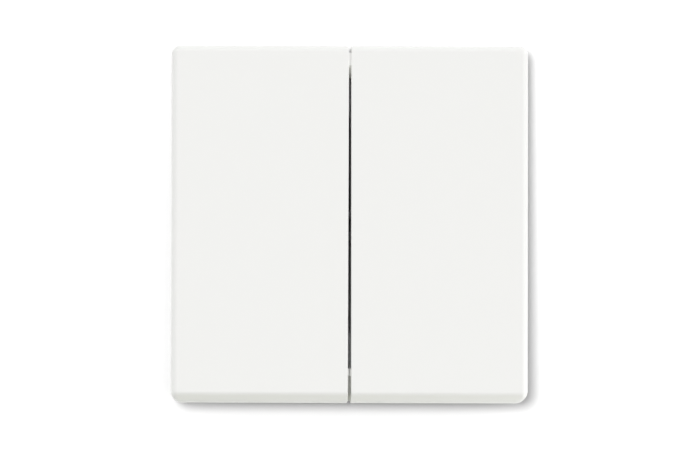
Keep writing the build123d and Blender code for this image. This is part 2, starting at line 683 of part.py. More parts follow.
def support_ring():
    """Steel ring that is screwed to the wall box, with the ears and collars for the claws."""
    ring_x = FACE_WIDTH - 2 * RING_INSET
    ring_z = FACE_HEIGHT - 2 * RING_INSET
    outline = RectangleRounded(ring_x, ring_z, RING_CORNER_R)
    outline -= Rectangle(2 * WINDOW_HALF_X, 2 * WINDOW_HALF_Z)
    for end in (-1, 1):
        slot = SlotOverall(FIXING_SLOT_LENGTH, 2 * FIXING_SLOT_R, rotation=90)
        outline -= Location((0, end * FIXING_SPACING / 2)) * slot
    body = slab(outline, RING_FRONT, 0)
    for side in (-1, 1):
        pivot = (side * CLAW_PIVOT_X, CLAW_PIVOT_Y)
        shank = Location(pivot) * Circle(CLAW_BARREL_R)
        shank += Location((pivot[0], (RING_FRONT + pivot[1]) / 2)) * Rectangle(
            2 * CLAW_BARREL_R, pivot[1] - RING_FRONT
        )
        shank -= Location(pivot) * Circle(CLAW_PIN_R + FIXED)
        for low in (EAR_Z, -EAR_Z - EAR_T):
            body += extrude(Plane.XY.offset(low) * shank, amount=EAR_T, dir=(0, 0, 1))
        x = side * CLAW_SCREW_X
        body += rod(CLAW_COLLAR_R, (x, RING_FRONT, 0), (x, CLAW_COLLAR_T, 0))
        body -= rod(CLAW_SCREW_R + RUNNING, (x, RING_FRONT - PAST, 0), (x, CLAW_COLLAR_T + PAST, 0))
    return body


def claw():
    """Right claw: a barrel on its pin, a foot for the screw, and an arm with teeth."""
    pivot = (CLAW_PIVOT_X, CLAW_PIVOT_Y)
    low = Plane.XY.offset(-CLAW_HALF_Z)
    arm = trace(Polyline(pivot, CLAW_END, CLAW_TOOTH), line_width=CLAW_T)
    body = extrude(low * arm, amount=2 * CLAW_HALF_Z, dir=(0, 0, 1))
    tooth_x = CLAW_TOOTH[0]
    mouth_half = CLAW_TOOTH_HALF * (CLAW_TOOTH_NOTCH + PAST) / CLAW_TOOTH_NOTCH
    for tooth in (-1, 1):
        z = tooth * CLAW_HALF_Z / 2
        mouth = [(tooth_x + PAST, end) for end in span(z, 2 * mouth_half)]
        notch = Polygon((tooth_x - CLAW_TOOTH_NOTCH, z), *mouth, align=None)
        body -= slab(notch, CLAW_END[1], CLAW_TOOTH[1] + CLAW_T)
    body += rod(CLAW_BARREL_R, (*pivot, -CLAW_HALF_Z), (*pivot, CLAW_HALF_Z))
    foot_y = CLAW_PIVOT_Y + CLAW_FOOT_SET
    foot_x = (CLAW_SCREW_X - CLAW_FOOT_PAST, CLAW_PIVOT_X)
    body += block(foot_x, (foot_y, foot_y + CLAW_T), span(0, 2 * CLAW_FOOT_HALF_Z))
    return body - rod(CLAW_PIN_R + RUNNING, (*pivot, -CLAW_HALF_Z - PAST), (*pivot, CLAW_HALF_Z + PAST))


def claw_pin():
    """Right claw's pivot pin, with a head under the lower ear."""
    top = EAR_Z + EAR_T + PASSAGE
    bottom = -EAR_Z - EAR_T
    pin = rod(CLAW_PIN_R, (CLAW_PIVOT_X, CLAW_PIVOT_Y, bottom), (CLAW_PIVOT_X, CLAW_PIVOT_Y, top))
    head = (CLAW_PIVOT_X, CLAW_PIVOT_Y, bottom - CLAW_PIN_HEAD_T), (CLAW_PIVOT_X, CLAW_PIVOT_Y, bottom)
    return pin + rod(CLAW_PIN_HEAD_R, *head)


def claw_screw():
    """Right claw's screw: its point pushes the foot as it is driven in."""
    x = CLAW_SCREW_X
    point_y = CLAW_SCREW_TIP - CLAW_SCREW_POINT_L
    body = slotted_head(x, 0, CLAW_SCREW_HEAD_R, CLAW_SCREW_SEAT, CLAW_SCREW_HEAD_T)
    body += rod(CLAW_SCREW_R, (x, CLAW_SCREW_SEAT, 0), (x, point_y, 0))
    point = Cone(
        CLAW_SCREW_R,
        CLAW_SCREW_POINT_R,
        CLAW_SCREW_POINT_L,
        align=(Align.CENTER, Align.CENTER, Align.MIN),
    )
    return body + Plane(origin=(x, point_y, 0), z_dir=(0, 1, 0)) * point


paired = {
    "rocker": rocker(),
    "lever": lever(),
    "plunger": plunger(),
    "toggle_spring": toggle_spring(),
    "contact_bridge": contact_bridge(),
    "bridge_contact": bridge_contact(),
    "output_bar": output_bar(),
    "fixed_contact": fixed_contact(),
    "clamp_spring": clamp_spring(TERMINAL_X),
    "release_button": release_button(TERMINAL_X),
    "claw": claw(),
    "claw_pin": claw_pin(),
    "claw_screw": claw_screw(),
}
nodes = {
    "base": base(),
    "bearing_cover": bearing_cover(),
    "support_ring": support_ring(),
    "assembly_screws": assembly_screws(),
    "line_bar": line_bar(),
    "clamp_spring_line": mirror(clamp_spring(0), about=Plane.XY),
    "release_button_line": mirror(release_button(0), about=Plane.XY),
}
for name, shape in paired.items():
    nodes[name + "_right"] = shape
    nodes[name + "_left"] = left_of(shape)

os.makedirs("parts", exist_ok=True)
for name, shape in nodes.items():
    export_step(shape, f"parts/{name}.step")
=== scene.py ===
# %% [markdown]
# A double rocker light switch
# The switch is two white rockers on a flush insert, seen from straight in front of the wall.
# Its solids arrive at their real size, in metres. The rear face of the support ring is at y = 0,
# and the front is towards -Y.
# They could be remodelled here, but they already have the right edges and gaps, so they stay as
# they are and get their finishes. Only what they lack is modelled: threads, and springs that give.

# %% Load the solids
import json
import math

import bpy
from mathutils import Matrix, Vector


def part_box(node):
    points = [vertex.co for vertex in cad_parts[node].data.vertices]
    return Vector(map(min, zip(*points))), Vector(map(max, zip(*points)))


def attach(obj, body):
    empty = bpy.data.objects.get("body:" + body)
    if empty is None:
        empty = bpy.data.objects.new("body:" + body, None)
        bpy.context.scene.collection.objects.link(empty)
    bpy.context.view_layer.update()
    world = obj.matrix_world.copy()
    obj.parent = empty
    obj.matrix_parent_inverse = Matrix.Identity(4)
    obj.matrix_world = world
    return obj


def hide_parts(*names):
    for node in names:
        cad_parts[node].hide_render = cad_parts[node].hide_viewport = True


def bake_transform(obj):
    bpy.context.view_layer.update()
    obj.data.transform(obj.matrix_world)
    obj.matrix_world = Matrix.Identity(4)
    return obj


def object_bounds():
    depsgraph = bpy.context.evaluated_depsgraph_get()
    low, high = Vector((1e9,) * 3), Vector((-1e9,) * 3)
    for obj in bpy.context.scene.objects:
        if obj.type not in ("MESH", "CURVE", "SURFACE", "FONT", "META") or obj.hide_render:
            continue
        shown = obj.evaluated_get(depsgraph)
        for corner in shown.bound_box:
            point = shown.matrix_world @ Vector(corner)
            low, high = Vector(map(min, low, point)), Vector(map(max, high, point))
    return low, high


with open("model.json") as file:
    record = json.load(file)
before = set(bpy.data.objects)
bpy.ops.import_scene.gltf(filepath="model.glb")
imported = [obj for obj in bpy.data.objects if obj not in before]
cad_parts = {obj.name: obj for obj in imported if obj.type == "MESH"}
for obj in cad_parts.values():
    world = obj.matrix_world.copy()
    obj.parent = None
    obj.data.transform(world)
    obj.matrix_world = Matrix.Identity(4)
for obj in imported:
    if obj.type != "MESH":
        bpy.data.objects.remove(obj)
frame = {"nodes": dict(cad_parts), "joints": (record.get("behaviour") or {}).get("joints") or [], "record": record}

cad_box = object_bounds()
nodes = frame["nodes"]
size_mm = [round(1000 * length, 1) for length in cad_box[1] - cad_box[0]]
print("solids:", len(nodes), "overall size in mm:", size_mm)

# %% [markdown]
# The camera
# The face shows no converging edges, so it was taken from far away with a long lens.
# An orthographic camera would do, but a long lens keeps a trace of depth in the gap.
# The left half looks a little wider than the right half, and a thin line of its side shows,
# so the camera stands slightly to the left. The edges of the face in the picture give the scale.

# %% Place the camera
MM = 0.001
PICTURE_WIDTH = 700
PICTURE_HEIGHT = 450
FACE_LEFT_PX = 171.3
FACE_RIGHT_PX = 527.4
FACE_TOP_PX = 45.8
FACE_BOTTOM_PX = 403.4
VIEW_FROM_LEFT = math.radians(1.4)
ROLL = math.radians(0.2)
CAMERA_DISTANCE = 2.0
SENSOR_WIDTH = 36.0

left_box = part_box("rocker_left")
right_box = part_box("rocker_right")
middle = (left_box[0] + right_box[1]) / 2
metres_per_pixel = (right_box[1].x - left_box[0].x) / (FACE_RIGHT_PX - FACE_LEFT_PX)
across = (PICTURE_WIDTH - FACE_LEFT_PX - FACE_RIGHT_PX) / 2 * metres_per_pixel
down = (PICTURE_HEIGHT - FACE_TOP_PX - FACE_BOTTOM_PX) / 2 * metres_per_pixel
to_right = Vector((math.cos(VIEW_FROM_LEFT), -math.sin(VIEW_FROM_LEFT), 0))
forward = Vector((math.sin(VIEW_FROM_LEFT), math.cos(VIEW_FROM_LEFT), 0))
stand = middle + to_right * across - Vector((0, 0, down)) - forward * CAMERA_DISTANCE
bpy.ops.object.select_all(action="DESELECT")
bpy.ops.object.camera_add(location=stand, rotation=(math.pi / 2, -ROLL, -VIEW_FROM_LEFT))
camera = bpy.context.object
camera.name = "front_camera"
camera.data.sensor_width = SENSOR_WIDTH
camera.data.lens = SENSOR_WIDTH * CAMERA_DISTANCE / (PICTURE_WIDTH * metres_per_pixel)
bpy.context.scene.camera = camera
print("lens in mm:", round(camera.data.lens), "scale in mm per pixel:", round(metres_per_pixel / MM, 4))

# %% [markdown]
# Node trees
# The wall, the sky and the finishes are all node trees, so a few short helpers come first:
# they add a node, set its values and link it in one line, which keeps the later cells readable.

# %% Helpers for node trees


def link(tree, value, socket):
    """Feed a socket from another socket, or set it to a plain value."""
    if isinstance(value, bpy.types.NodeSocket):
        tree.links.new(value, socket)
    else:
        socket.default_value = value


def add_node(tree, kind, **values):
    """New node with some of its sockets set or linked."""
    node = tree.nodes.new("ShaderNode" + kind)
    for name, value in values.items():
        link(tree, value, node.inputs[name.replace("_", " ")])
    return node


def combine(tree, operation, first, second):
    """Result of a Math node on two sockets or numbers."""
    node = tree.nodes.new("ShaderNodeMath")
    node.operation = operation
    link(tree, first, node.inputs[0])
    link(tree, second, node.inputs[1])
    return node.outputs["Value"]


print("helpers: link, add_node, combine")

# %% [markdown]
# The wall
# A switch lies on a wall, so a white wall takes the place of a floor.
# A plane does it, a hair in front of the ring's rear face, so that the two faces stay apart.
# Only its front is solid to the eye: from behind it is clear, because the insert on that side
# is worth seeing too.

# %% Build the wall
WALL_SIZE = 4.0
WALL_SET = 0.05 * MM
WALL_WHITE = (0.573, 0.573, 0.573, 1.0)
WALL_ROUGHNESS = 0.9

bpy.ops.object.select_all(action="DESELECT")
bpy.ops.mesh.primitive_plane_add(
    size=WALL_SIZE, location=(0, -WALL_SET, 0), rotation=(math.pi / 2, 0, 0)
)
wall = bpy.context.object
wall.name = "wall"
bpy.ops.object.transform_apply(location=True, rotation=True, scale=True)


def wall_paint():
    """White paint that shows only from the front."""
    material = bpy.data.materials.new("wall_paint")
    material.use_nodes = True
    tree = material.node_tree
    paint = tree.nodes["Principled BSDF"]
    paint.inputs["Base Color"].default_value = WALL_WHITE
    paint.inputs["Roughness"].default_value = WALL_ROUGHNESS
    paint.inputs["Specular IOR Level"].default_value = 0.0
    side = add_node(tree, "NewGeometry")
    clear = add_node(tree, "BsdfTransparent")
    mix = add_node(tree, "MixShader", Fac=side.outputs["Backfacing"])
    tree.links.new(paint.outputs["BSDF"], mix.inputs[1])
    tree.links.new(clear.outputs["BSDF"], mix.inputs[2])
    tree.links.new(mix.outputs["Shader"], tree.nodes["Material Output"].inputs["Surface"])
    return material


wall.data.materials.append(wall_paint())
print("wall at y in mm:", round(-WALL_SET / MM, 2))

# %% [markdown]
# The light
# The picture has the even light of a white tent: strongest from the front, a little stronger
# on the right, and weaker from below and above, because the bottom bevel is the darkest part
# of the face and the top rim is hardly brighter than its middle. Large soft lamps could do it,
# but the sky of the scene does it with no edges, when its strength is set by direction.
# Behind the wall it is dimmer, so that a lamp there can shape the insert.

# %% Light the tent
TENT_WHITE = (1.0, 1.0, 1.0, 1.0)
TENT_BY_HEIGHT = {-1.0: 0.0, -0.5: 0.195, 0.0: 1.785, 0.3: 1.865, 0.6: 1.03, 1.0: 0.3}
TENT_BY_SIDE = {-1.0: 0.92, 0.0: 1.0, 1.0: 1.42}
TENT_BY_DEPTH = {-1.0: 1.0, 0.0: 0.6, 0.5: 0.45, 1.0: 0.45}


def strength_by(tree, axis, strengths):
    """Strength along one axis of the direction, looked up on a curve from -1 to 1."""
    place = add_node(tree, "MapRange", Value=axis, From_Min=-1.0)
    curve = add_node(tree, "FloatCurve", Value=place.outputs["Result"])
    points = curve.mapping.curves[0].points
    strongest = max(strengths.values())
    steps = sorted(strengths)
    for step in steps[1:-1]:
        points.new((step + 1) / 2, strengths[step] / strongest)
    for end, step in ((0, steps[0]), (-1, steps[-1])):
        points[end].location = ((step + 1) / 2, strengths[step] / strongest)
    curve.mapping.update()
    return combine(tree, "MULTIPLY", curve.outputs["Value"], strongest)


def tent_sky():
    """Sky whose strength depends on the direction: by height, to the side and in depth."""
    world = bpy.data.worlds.new("tent")
    world.use_nodes = True
    tree = world.node_tree
    place = add_node(tree, "TexCoord")
    axes = add_node(tree, "SeparateXYZ", Vector=place.outputs["Generated"])
    by_height = strength_by(tree, axes.outputs["Z"], TENT_BY_HEIGHT)
    by_side = strength_by(tree, axes.outputs["X"], TENT_BY_SIDE)
    by_depth = strength_by(tree, axes.outputs["Y"], TENT_BY_DEPTH)
    strength = combine(tree, "MULTIPLY", combine(tree, "MULTIPLY", by_height, by_side), by_depth)
    sky = tree.nodes["Background"]
    sky.inputs["Color"].default_value = TENT_WHITE
    link(tree, strength, sky.inputs["Strength"])
    return world


bpy.context.scene.world = tent_sky()
bpy.context.scene.view_settings.view_transform = "Standard"
print("tent strength by height:", TENT_BY_HEIGHT)

# %% [markdown]
# The lamps
# A soft lamp from the upper left throws the thin shadow to the right and below. It is linked to
# the wall alone, as if flags kept it off the face, so the face stays even.
# A small lamp low on the right, level with the face, lights only the rim and the bevel: the bevel
# gets brighter to the right in the picture. The bevel is also a little yellower than the face,
# as if a table threw some light back up, so a faint toned sun shines on the rockers from below.
# A last lamp stands behind the wall.

# %% Place the lamps
# Angles are in degrees, and places and sizes in metres.
SHADOW_FROM = (-9.2, 6.35)
SHADOW_SOFTNESS = 16.0
SHADOW_STRENGTH = 3.5
RIM_PLACE = Vector((0.1, -0.01, -0.1))
RIM_SIZE = 0.04
RIM_POWER = 0.029
BOUNCE_BELOW = 80.0
BOUNCE_SOFTNESS = 10.0
BOUNCE_STRENGTH = 0.15
BOUNCE_TONE = (0.89, 1.0, 0.4)
REAR_PLACE = Vector((0.3, 0.45, 0.35))
REAR_SIZE = 0.3
REAR_POWER = 2.5


def add_lamp(kind, name, place, power, lit):
    """Lamp at a place that points at the origin, linked to a few objects if some are given."""
    bpy.ops.object.select_all(action="DESELECT")
    bpy.ops.object.light_add(type=kind, location=place)
    lamp = bpy.context.object
    lamp.name = name
    lamp.rotation_euler = place.to_track_quat("Z", "Y").to_euler()
    lamp.data.energy = power
    if lit:
        group = bpy.data.collections.new(name + "_lights")
        for item in lit:
            group.objects.link(item)
        lamp.light_linking.receiver_collection = group
    return lamp


to_left, upwards = [math.tan(math.radians(angle)) for angle in SHADOW_FROM]
shadow_place = Vector((to_left, -1.0, upwards))
shadow_lamp = add_lamp("SUN", "shadow_lamp", shadow_place, SHADOW_STRENGTH, [wall])
shadow_lamp.data.angle = math.radians(SHADOW_SOFTNESS)
rockers = [nodes["rocker_left"], nodes["rocker_right"]]
rim_lamp = add_lamp("AREA", "rim_lamp", RIM_PLACE, RIM_POWER, rockers)
rim_lamp.data.size = RIM_SIZE
downwards = math.radians(BOUNCE_BELOW)
bounce_place = Vector((0, -math.cos(downwards), -math.sin(downwards)))
bounce_lamp = add_lamp("SUN", "bounce_lamp", bounce_place, BOUNCE_STRENGTH, rockers)
bounce_lamp.data.angle = math.radians(BOUNCE_SOFTNESS)
bounce_lamp.data.color = BOUNCE_TONE
rear_lamp = add_lamp("AREA", "rear_lamp", REAR_PLACE, REAR_POWER, [])
rear_lamp.data.size = REAR_SIZE
print("lamps:", shadow_lamp.name, rim_lamp.name, bounce_lamp.name, rear_lamp.name)

# %% [markdown]
# Finishes
# Every surface of a real switch has a texture: moulded plastic has a fine grain from its mould,
# sheet metal has streaks from rolling, and plating has faint crystals.
# Each of those effects is one node group, which the finishes place with their own values.
# All of them read object coordinates, because the solids have no UV maps.

# %% Helpers for node groups


def start_group(name, inputs, outputs):
    """Empty node group whose sockets have names and kinds."""
    group = bpy.data.node_groups.new(name, "ShaderNodeTree")
    for socket, kind in inputs.items():
        group.interface.new_socket(name=socket, in_out="INPUT", socket_type="NodeSocket" + kind)
    for socket, kind in outputs.items():
        group.interface.new_socket(name=socket, in_out="OUTPUT", socket_type="NodeSocket" + kind)
    source = group.nodes.new("NodeGroupInput").outputs
    result = group.nodes.new("NodeGroupOutput").inputs
    return group, source, result


def noise(tree, position, scale, detail):
    """Noise with features about 1 / scale metres wide."""
    texture = add_node(tree, "TexNoise", Vector=position, Scale=scale, Detail=detail)
    return texture.outputs["Fac"]


print("helpers: start_group, noise")

# %% [markdown]
# Mould grain
# The steel mould of a plastic part is spark eroded or etched, and leaves a fine even grain.
# Noise gives that grain, and a second, slow noise gives the faint clouds of the pigment.

# %% Mould grain group
GRAINS_PER_CLOUD = 40
CLOUD_DETAIL = 3.0
GRAIN_DETAIL = 2.0


def mould_grain():
    """Clouds and grain of a moulded plastic skin."""
    inputs = {"Position": "Vector", "Grain": "Float"}
    group, source, result = start_group("mould_grain", inputs, {"Cloud": "Float", "Height": "Float"})
    coarse = combine(group, "DIVIDE", source["Grain"], GRAINS_PER_CLOUD)
    link(group, noise(group, source["Position"], coarse, CLOUD_DETAIL), result["Cloud"])
    grain = noise(group, source["Position"], source["Grain"], GRAIN_DETAIL)
    link(group, grain, result["Height"])
    return group


MOULD_GRAIN = mould_grain()
print("group:", MOULD_GRAIN.name)

# %% [markdown]
# Rolling streaks
# Sheet metal and drawn wire carry long fine streaks in the direction of their rolling.
# Noise that is stretched along one axis gives them. Here that axis is z.

# %% Rolling streaks group
STREAK_STRETCH = 0.03
STREAKS_PER_BAND = 3
BAND_DETAIL = 2.0
STREAK_DETAIL = 4.0


def rolling_streaks():
    """Bands and fine streaks along z."""
    inputs = {"Position": "Vector", "Streaks": "Float"}
    group, source, result = start_group("rolling_streaks", inputs, {"Band": "Float", "Height": "Float"})
    squeezed = add_node(group, "Mapping", Vector=source["Position"], Scale=(1.0, 1.0, STREAK_STRETCH))
    coarse = combine(group, "DIVIDE", source["Streaks"], STREAKS_PER_BAND)
    bands = noise(group, squeezed.outputs["Vector"], coarse, BAND_DETAIL)
    fine = noise(group, squeezed.outputs["Vector"], source["Streaks"], STREAK_DETAIL)
    link(group, bands, result["Band"])
    link(group, combine(group, "MULTIPLY", fine, bands), result["Height"])
    return group


ROLLING_STREAKS = rolling_streaks()
print("group:", ROLLING_STREAKS.name)

# %% [markdown]
# Plating crystals
# A zinc coat sets in small crystals that catch the light a little differently.
# Voronoi cells with a random tone each look like that when they are small and faint.

# %% Plating crystals group
CRYSTALS_PER_CLOUD = 10


def plating_crystals():
    """Random tone for each crystal, faded in and out by clouds."""
    inputs = {"Position": "Vector", "Crystals": "Float"}
    group, source, result = start_group("plating_crystals", inputs, {"Tone": "Float"})
    cells = add_node(group, "TexVoronoi", Vector=source["Position"], Scale=source["Crystals"])
    tone = add_node(group, "SeparateColor", Color=cells.outputs["Color"])
    coarse = combine(group, "DIVIDE", source["Crystals"], CRYSTALS_PER_CLOUD)
    cloud = noise(group, source["Position"], coarse, CLOUD_DETAIL)
    link(group, combine(group, "MULTIPLY", tone.outputs["Red"], cloud), result["Tone"])
    return group


PLATING_CRYSTALS = plating_crystals()
print("group:", PLATING_CRYSTALS.name)

# %% [markdown]
# One way to put a finish together
# Each finish blends two close tones by a mask, spreads the roughness over a small range by
# the same mask, and raises the surface by the group's height. Only the numbers differ.
# Moulded and stamped edges are never quite sharp. Rounding them all in the meshes would be slow,
# so the insert's finishes bend the normals near an edge, which catches the same fine highlight.

# %% Helpers for a finish


def start_finish(name, metallic):
    """Material with its Principled shader and the object coordinates."""
    material = bpy.data.materials.new(name)
    material.use_nodes = True
    tree = material.node_tree
    shader = tree.nodes["Principled BSDF"]
    shader.inputs["Metallic"].default_value = metallic
    place = add_node(tree, "TexCoord")
    return material, tree, shader, place.outputs["Object"]


def place_group(tree, group, position, **values):
    """Outputs of a group at a position, with its own values."""
    node = tree.nodes.new("ShaderNodeGroup")
    node.node_tree = group
    link(tree, position, node.inputs["Position"])
    for name, value in values.items():
        node.inputs[name].default_value = value
    return node.outputs


def vary(tree, shader, mask, dark, light, rough):
    """Blend two tones and spread the roughness by one mask."""
    mix = tree.nodes.new("ShaderNodeMix")
    mix.data_type = "RGBA"
    mix.inputs["A"].default_value = (*dark, 1.0)
    mix.inputs["B"].default_value = (*light, 1.0)
    link(tree, mask, mix.inputs["Factor"])
    link(tree, mix.outputs["Result"], shader.inputs["Base Color"])
    reach = add_node(tree, "MapRange", Value=mask, To_Min=rough[0], To_Max=rough[1])
    link(tree, reach.outputs["Result"], shader.inputs["Roughness"])


def raise_surface(tree, shader, height, depth, edge):
    """Bump with a real depth in metres, on edges that look rounded by a radius in metres."""
    bump = add_node(tree, "Bump", Height=height, Distance=depth)
    if edge:
        soft = add_node(tree, "Bevel", Radius=edge)
        link(tree, soft.outputs["Normal"], bump.inputs["Normal"])
    link(tree, bump.outputs["Normal"], shader.inputs["Normal"])


print("helpers: start_finish, place_group, vary, raise_surface")

# %% [markdown]
# Moulded plastics
# The face is smooth enough to shine softly and has almost no grain. The parts of the insert
# are duller, with a coarser grain, because nobody sees them once the switch is on the wall.
# One function makes them all, so only their numbers differ.

# %% Plastic finishes
MOULDED_EDGE = 0.2 * MM

finishes = {}


def plastic(name, dark, light, rough, grain, depth, edge):
    """Moulded plastic between two tones, with grains per metre, their depth and its edges."""
    material, tree, shader, position = start_finish(name, 0.0)
    skin = place_group(tree, MOULD_GRAIN, position, Grain=grain)
    vary(tree, shader, skin["Cloud"], dark, light, rough)
    raise_surface(tree, shader, skin["Height"], depth, edge)
    finishes[name] = material
    print("plastic:", name)


plastic(
    "face_white", dark=(0.868, 0.868, 0.85), light=(0.88, 0.88, 0.864), rough=(0.34, 0.42),
    grain=6000, depth=0.001 * MM, edge=0,
)
plastic(
    "lever_plastic", dark=(0.5, 0.51, 0.52), light=(0.58, 0.59, 0.6), rough=(0.42, 0.55),
    grain=4000, depth=0.004 * MM, edge=MOULDED_EDGE,
)
plastic(
    "base_plastic", dark=(0.68, 0.68, 0.65), light=(0.74, 0.74, 0.72), rough=(0.45, 0.6),
    grain=3000, depth=0.008 * MM, edge=MOULDED_EDGE,
)
plastic(
    "cover_plastic", dark=(0.27, 0.28, 0.29), light=(0.33, 0.34, 0.35), rough=(0.45, 0.6),
    grain=3000, depth=0.008 * MM, edge=MOULDED_EDGE,
)
plastic(
    "button_plastic", dark=(0.36, 0.38, 0.4), light=(0.42, 0.44, 0.46), rough=(0.3, 0.4),
    grain=4000, depth=0.004 * MM, edge=MOULDED_EDGE,
)

# %% [markdown]
# Plated and rolled metals
# The ring and the claws are zinc coated sheet, the screws are plated after turning, the springs
# are bright wire and strip, and the bars are rolled brass. Streaks and crystals tell them apart.

# %% Metal finishes
STREAK_DEPTH = 0.004 * MM
STREAKS_PER_CRYSTAL = 3
METAL_EDGE = 0.12 * MM


def plated(name, dark, light, rough, crystals):
    """Plated steel with faint crystals over rolling streaks, both counted per metre."""
    material, tree, shader, position = start_finish(name, 1.0)
    plating = place_group(tree, PLATING_CRYSTALS, position, Crystals=crystals)
    streaks = place_group(tree, ROLLING_STREAKS, position, Streaks=crystals * STREAKS_PER_CRYSTAL)
    vary(tree, shader, plating["Tone"], dark, light, rough)
    raise_surface(tree, shader, streaks["Height"], STREAK_DEPTH, METAL_EDGE)
    finishes[name] = material
    print("plated:", name)


def rolled(name, dark, light, rough, streaks):
    """Rolled or drawn metal with streaks per metre along its length."""
    material, tree, shader, position = start_finish(name, 1.0)
    lines = place_group(tree, ROLLING_STREAKS, position, Streaks=streaks)
    vary(tree, shader, lines["Band"], dark, light, rough)
    raise_surface(tree, shader, lines["Height"], STREAK_DEPTH, METAL_EDGE)
    finishes[name] = material
    print("rolled:", name)


plated(
    "zinc_steel", dark=(0.46, 0.47, 0.48), light=(0.68, 0.69, 0.7), rough=(0.46, 0.6), crystals=2000
)
plated(
    "screw_steel", dark=(0.58, 0.57, 0.55), light=(0.78, 0.77, 0.74), rough=(0.24, 0.34), crystals=4000
)
rolled(
    "spring_steel", dark=(0.45, 0.45, 0.47), light=(0.62, 0.62, 0.63), rough=(0.2, 0.32), streaks=9000
)
rolled(
    "contact_brass", dark=(0.68, 0.49, 0.22), light=(0.84, 0.66, 0.34), rough=(0.22, 0.36), streaks=6000
)
rolled(
    "contact_silver", dark=(0.79, 0.79, 0.77), light=(0.9, 0.9, 0.89), rough=(0.18, 0.3), streaks=6000
)

# %% [markdown]
# Dress the solids
# Each piece of the switch is made of one material. Finishes could be set by hand, one piece at
# a time, but the record of the switch says which one each solid takes, so a loop hands them out.

# %% Hand out the finishes
for subpart in frame["record"]["subparts"]:
    solid = nodes[subpart["node"]]
    solid.data.materials.clear()
    solid.data.materials.append(finishes[subpart["material_slot"]])

# %% [markdown]
# Threaded screws
# The solids of the screws have plain shanks. Four short screws bite into the plastic base, so
# their thread is coarse. The two claw screws turn in steel collars, so theirs is fine.
# A thread could be bump in the finish, but bump leaves the outline of a shank straight.
# So it is modelled, much as it is made: a zigzag is wound up into a thread, a turned blank
# trims it to its length and its point, and a slotted head goes on.

# %% Helpers for modelled pieces
FLAT_ENOUGH = 0.9


def pick(piece):
    """Select one object alone and make it the active one."""
    bpy.ops.object.select_all(action="DESELECT")
    piece.select_set(True)
    bpy.context.view_layer.objects.active = piece


def select_end(piece, direction):
    """Select the flat end of a piece that faces up (1) or down (-1) along z, in edit mode."""
    pick(piece)
    bpy.ops.object.mode_set(mode="EDIT")
    bpy.ops.mesh.select_mode(type="FACE")
    bpy.ops.mesh.select_all(action="DESELECT")
    bpy.ops.object.mode_set(mode="OBJECT")
    for face in piece.data.polygons:
        face.select = face.normal.z * direction > FLAT_ENOUGH
    bpy.ops.object.mode_set(mode="EDIT")


def shape_by(piece, tool, operation):
    """Join a tool to a piece, or cut or trim the piece with it. The tool is used up."""
    pick(piece)
    change = piece.modifiers.new("change", "BOOLEAN")
    change.operation = operation
    change.object = tool
    bpy.ops.object.modifier_apply(modifier=change.name)
    pick(tool)
    bpy.ops.object.delete()


print("helpers: pick, select_end, shape_by")

# %% [markdown]
# Winding the thread
# One point of a merged plane is extruded along a zigzag, with small flats on the root and
# the crest, and the Screw modifier winds that line around the axis. Each turn starts where
# the last one ends, so merging the doubles closes it, and two cuts make its ends flat.

# %% Wind a thread
ROUND_STEPS = 40
ROOT_FLAT = 0.25
CREST_FLAT = 0.125
SPARE_TURNS = 2
TINY = 0.001 * MM
CUT_TOLERANCE = TINY / 100


def wound_thread(crest, root, pitch, start, end):
    """Threaded rod about z between two heights."""
    bpy.ops.object.select_all(action="DESELECT")
    first = start - SPARE_TURNS * pitch
    bpy.ops.mesh.primitive_plane_add(size=pitch, location=(root, 0, first))
    thread = bpy.context.object
    bpy.ops.object.transform_apply(location=True, rotation=True, scale=True)
    bpy.ops.object.mode_set(mode="EDIT")
    bpy.ops.mesh.select_mode(type="VERT")
    bpy.ops.mesh.select_all(action="SELECT")
    bpy.ops.mesh.merge(type="CENTER")
    slope = (1 - ROOT_FLAT - CREST_FLAT) / 2
    depth = crest - root
    for out, along in ((0, ROOT_FLAT), (depth, slope), (0, CREST_FLAT), (-depth, slope)):
        bpy.ops.mesh.extrude_region_move(TRANSFORM_OT_translate={"value": (out, 0, along * pitch)})
    bpy.ops.object.mode_set(mode="OBJECT")
    winding = thread.modifiers.new("winding", "SCREW")
    winding.axis = "Z"
    winding.screw_offset = pitch
    winding.iterations = math.ceil((end - start) / pitch) + 2 * SPARE_TURNS
    winding.steps = ROUND_STEPS
    winding.render_steps = ROUND_STEPS
    bpy.ops.object.modifier_apply(modifier=winding.name)
    bpy.ops.object.mode_set(mode="EDIT")
    bpy.ops.mesh.select_all(action="SELECT")
    bpy.ops.mesh.remove_doubles(threshold=TINY)
    for height, keep_above in ((start, True), (end, False)):
        bpy.ops.mesh.select_all(action="SELECT")
        bpy.ops.mesh.bisect(
            plane_co=(0, 0, height),
            plane_no=(0, 0, 1),
            use_fill=True,
            clear_inner=keep_above,
            clear_outer=not keep_above,
            threshold=CUT_TOLERANCE,
        )
    bpy.ops.mesh.select_all(action="SELECT")
    bpy.ops.mesh.normals_make_consistent(inside=False)
    bpy.ops.object.mode_set(mode="OBJECT")
    return thread


print("a thread has", ROUND_STEPS, "steps to a turn")

# %% [markdown]
# Turning the blank
# A screw starts as a round bar with a taper at its end. The bar is a cylinder, and the taper
# is its end face extruded and shrunk. It could be drawn into the zigzag instead, but trimming
# by a blank lets every turn run out on the taper, as it does on a real point.

# %% Turn a blank


def round_bar(radius, start, end):
    """Round bar about z between two heights."""
    bpy.ops.object.select_all(action="DESELECT")
    bpy.ops.mesh.primitive_cylinder_add(
        vertices=ROUND_STEPS, radius=radius, depth=end - start, location=(0, 0, (start + end) / 2)
    )
    bpy.ops.object.transform_apply(location=True, rotation=True, scale=True)
    return bpy.context.object


